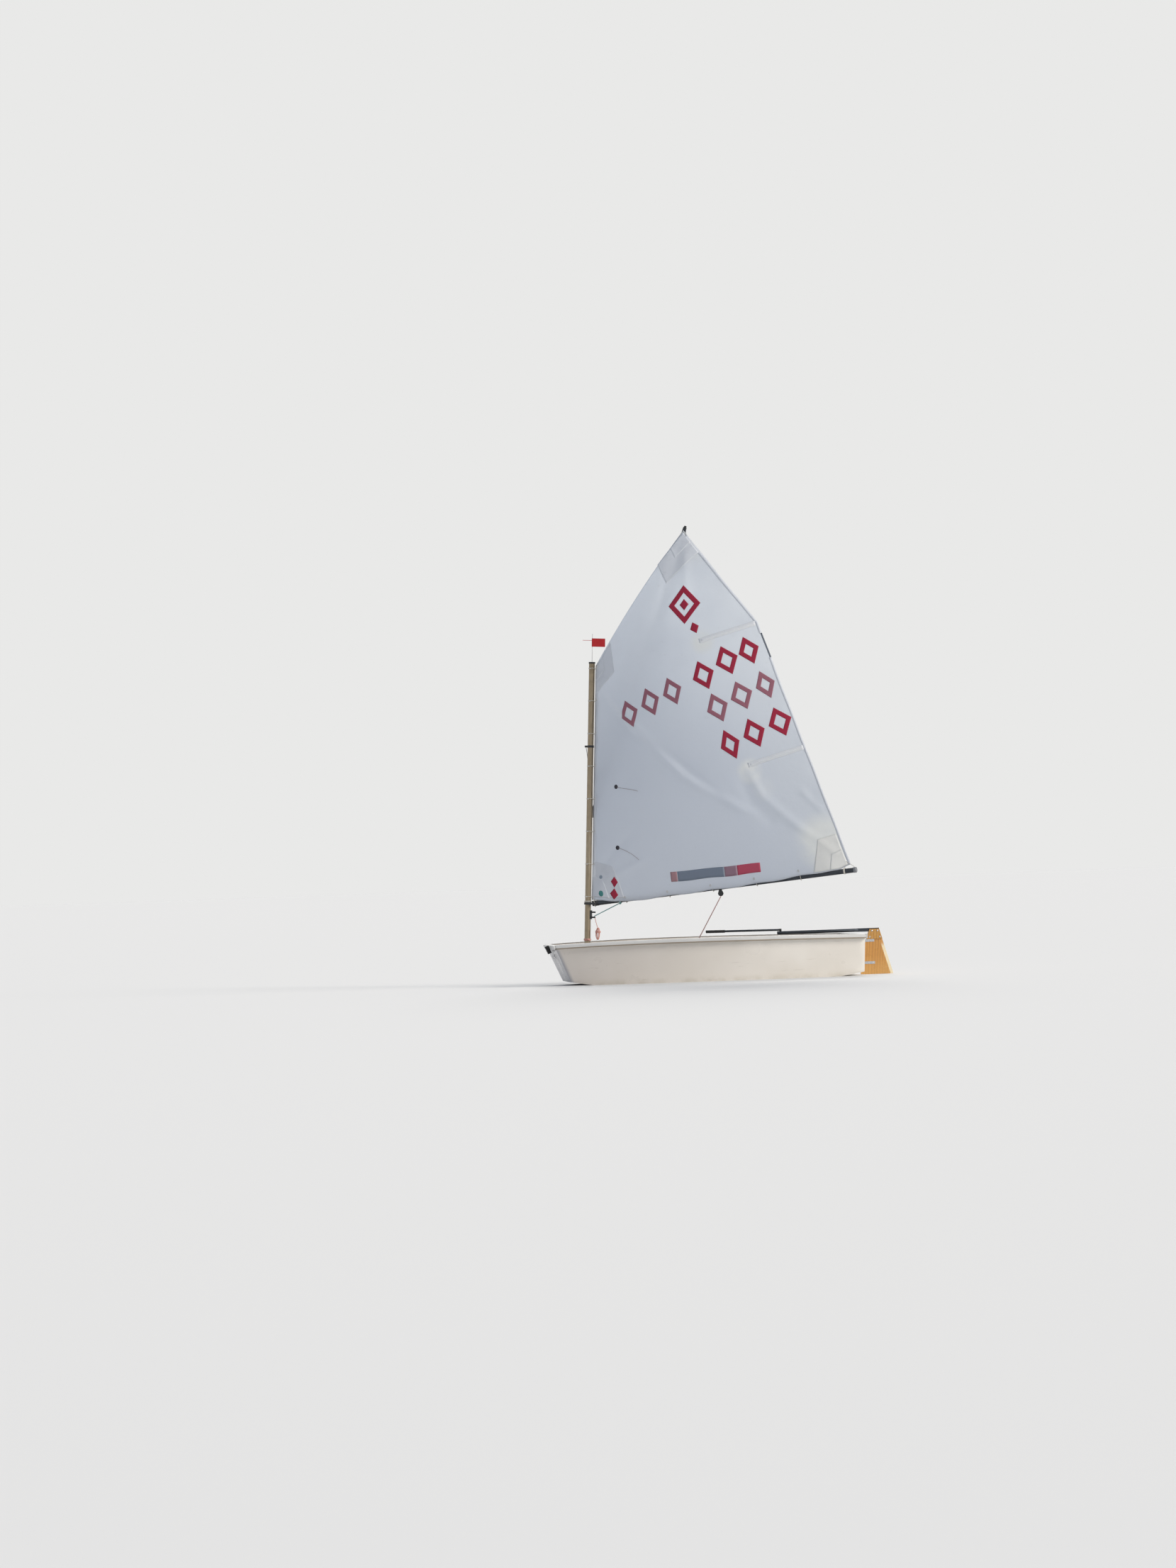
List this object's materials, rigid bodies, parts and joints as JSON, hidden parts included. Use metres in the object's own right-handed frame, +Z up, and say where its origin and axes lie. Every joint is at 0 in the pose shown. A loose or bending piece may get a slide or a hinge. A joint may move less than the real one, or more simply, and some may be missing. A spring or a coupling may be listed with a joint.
{
  "type": "sprit-rigged pram sailing dinghy",
  "caption": "Small flat-bottomed pram dinghy afloat and rigged, with sprit mainsail on a swinging boom, lifting daggerboard, rudder with tiller, and buoyancy bags.",
  "frame": {"origin": "amidships on the centreline, at the waterline it floats at", "axes": "+X towards the bow, +Y to port, +Z up"},
  "size_m": [2.6198, 1.5208, 4.1076],
  "materials": {
    "hull_shell": "gloss gel coat",
    "gunwale_grey": "satin moulded edge",
    "interior_white": "satin moulded fittings",
    "bag_fabric": "coated fabric, soft sheen",
    "webbing": "woven webbing",
    "steel": "satin stainless",
    "black_plastic": "matt moulded",
    "mast_alloy": "anodised, warm tone",
    "dark_alloy": "dark anodised",
    "sailcloth": "crisp translucent cloth",
    "flag_red": "stiff film",
    "varnished_wood": "varnished",
    "board_white": "gloss epoxy"
  },
  "bodies": {
    "hull": {"hull_bottom": "hull_shell", "side_port": "hull_shell", "side_starboard": "hull_shell", "bow_transom": "hull_shell", "stern_transom": "hull_shell", "gunwale_port": "gunwale_grey", "gunwale_starboard": "gunwale_grey", "bow_gunwale": "gunwale_grey", "stern_gunwale": "gunwale_grey", "mast_thwart": "interior_white", "mast_bearings": "black_plastic", "daggerboard_case": "interior_white", "case_cap": "black_plastic", "midship_bulkhead": "interior_white", "buoyancy_bags": "bag_fabric", "bag_straps": "webbing", "hiking_straps": "webbing", "transom_gudgeons": "steel", "ratchet_block": "black_plastic", "bow_fender": "black_plastic", "painter_eye": "steel"},
    "rig": {"mast": "mast_alloy", "mast_fittings": "black_plastic", "boom": "dark_alloy", "boom_fittings": "black_plastic", "sprit": "dark_alloy", "sprit_ends": "black_plastic", "sail": "sailcloth", "sail_ties": "webbing"},
    "wind_indicator": {"wind_vane": "flag_red"},
    "rudder": {"rudder_blade": "varnished_wood", "rudder_cheeks": "varnished_wood", "rudder_pintles": "steel", "tiller": "dark_alloy"},
    "extension": {"tiller_extension": "dark_alloy"},
    "board": {"daggerboard": "board_white", "daggerboard_stops": "varnished_wood"}
  },
  "joints": [
    {"name": "rig_turn", "type": "hinge", "parent": "hull", "child": "rig", "pos_m": [0.865, 0, 0.32], "axis": [-0.0506, 0, 0.9987], "range_deg": [-63, 117]},
    {"name": "wind_indicator_turn", "type": "hinge", "parent": "rig", "child": "wind_indicator", "pos_m": [0.7537, 0, 2.51718], "axis": [-0.0506, 0, 0.9987], "continuous": true},
    {"name": "rudder_turn", "type": "hinge", "parent": "hull", "child": "rudder", "pos_m": [-1.179, 0, 0.15], "axis": [0, 0, 1], "range_deg": [-75, 75]},
    {"name": "extension_turn", "type": "hinge", "parent": "rudder", "child": "extension", "pos_m": [-0.592, 0, 0.349], "axis": [0, 0, 1], "range_deg": [-85, 155]},
    {"name": "daggerboard_lift", "type": "slide", "parent": "hull", "child": "board", "axis": [0, 0, 1], "range_m": [0, 0.7]}
  ]
}
